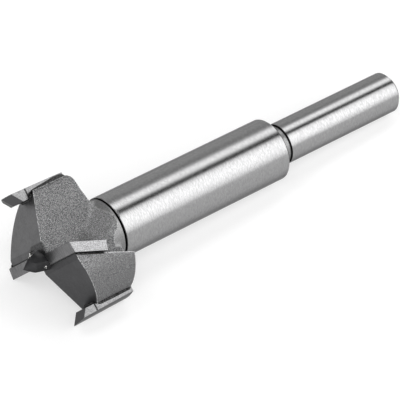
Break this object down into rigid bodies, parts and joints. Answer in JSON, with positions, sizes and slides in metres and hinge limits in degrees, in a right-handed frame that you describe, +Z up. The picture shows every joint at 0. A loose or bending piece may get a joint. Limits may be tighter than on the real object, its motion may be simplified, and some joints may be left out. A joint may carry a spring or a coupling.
{
  "type": "forstner bit",
  "caption": "Hinge-boring forstner bit: a thick ground body with a straight shank, two relieved wings, carbide cutting plates, carbide spur strips and a centre point.",
  "frame": {"origin": "middle of the footprint, on the surface that the bit lies on", "axes": "+X along the bit towards the shank, +Z up, +Y completes the right-handed frame"},
  "size_m": [0.109, 0.029, 0.0237],
  "materials": {
    "ground_steel": "ground, with the head blasted to a fine grain",
    "plate_carbide": "smooth ground carbide",
    "spur_carbide": "smooth ground carbide"
  },
  "bodies": {
    "root": {"steel_body": "ground_steel", "cutter_plate_1": "plate_carbide", "cutter_plate_2": "plate_carbide", "spur_strip_1": "spur_carbide", "spur_strip_2": "spur_carbide"}
  },
  "joints": []
}
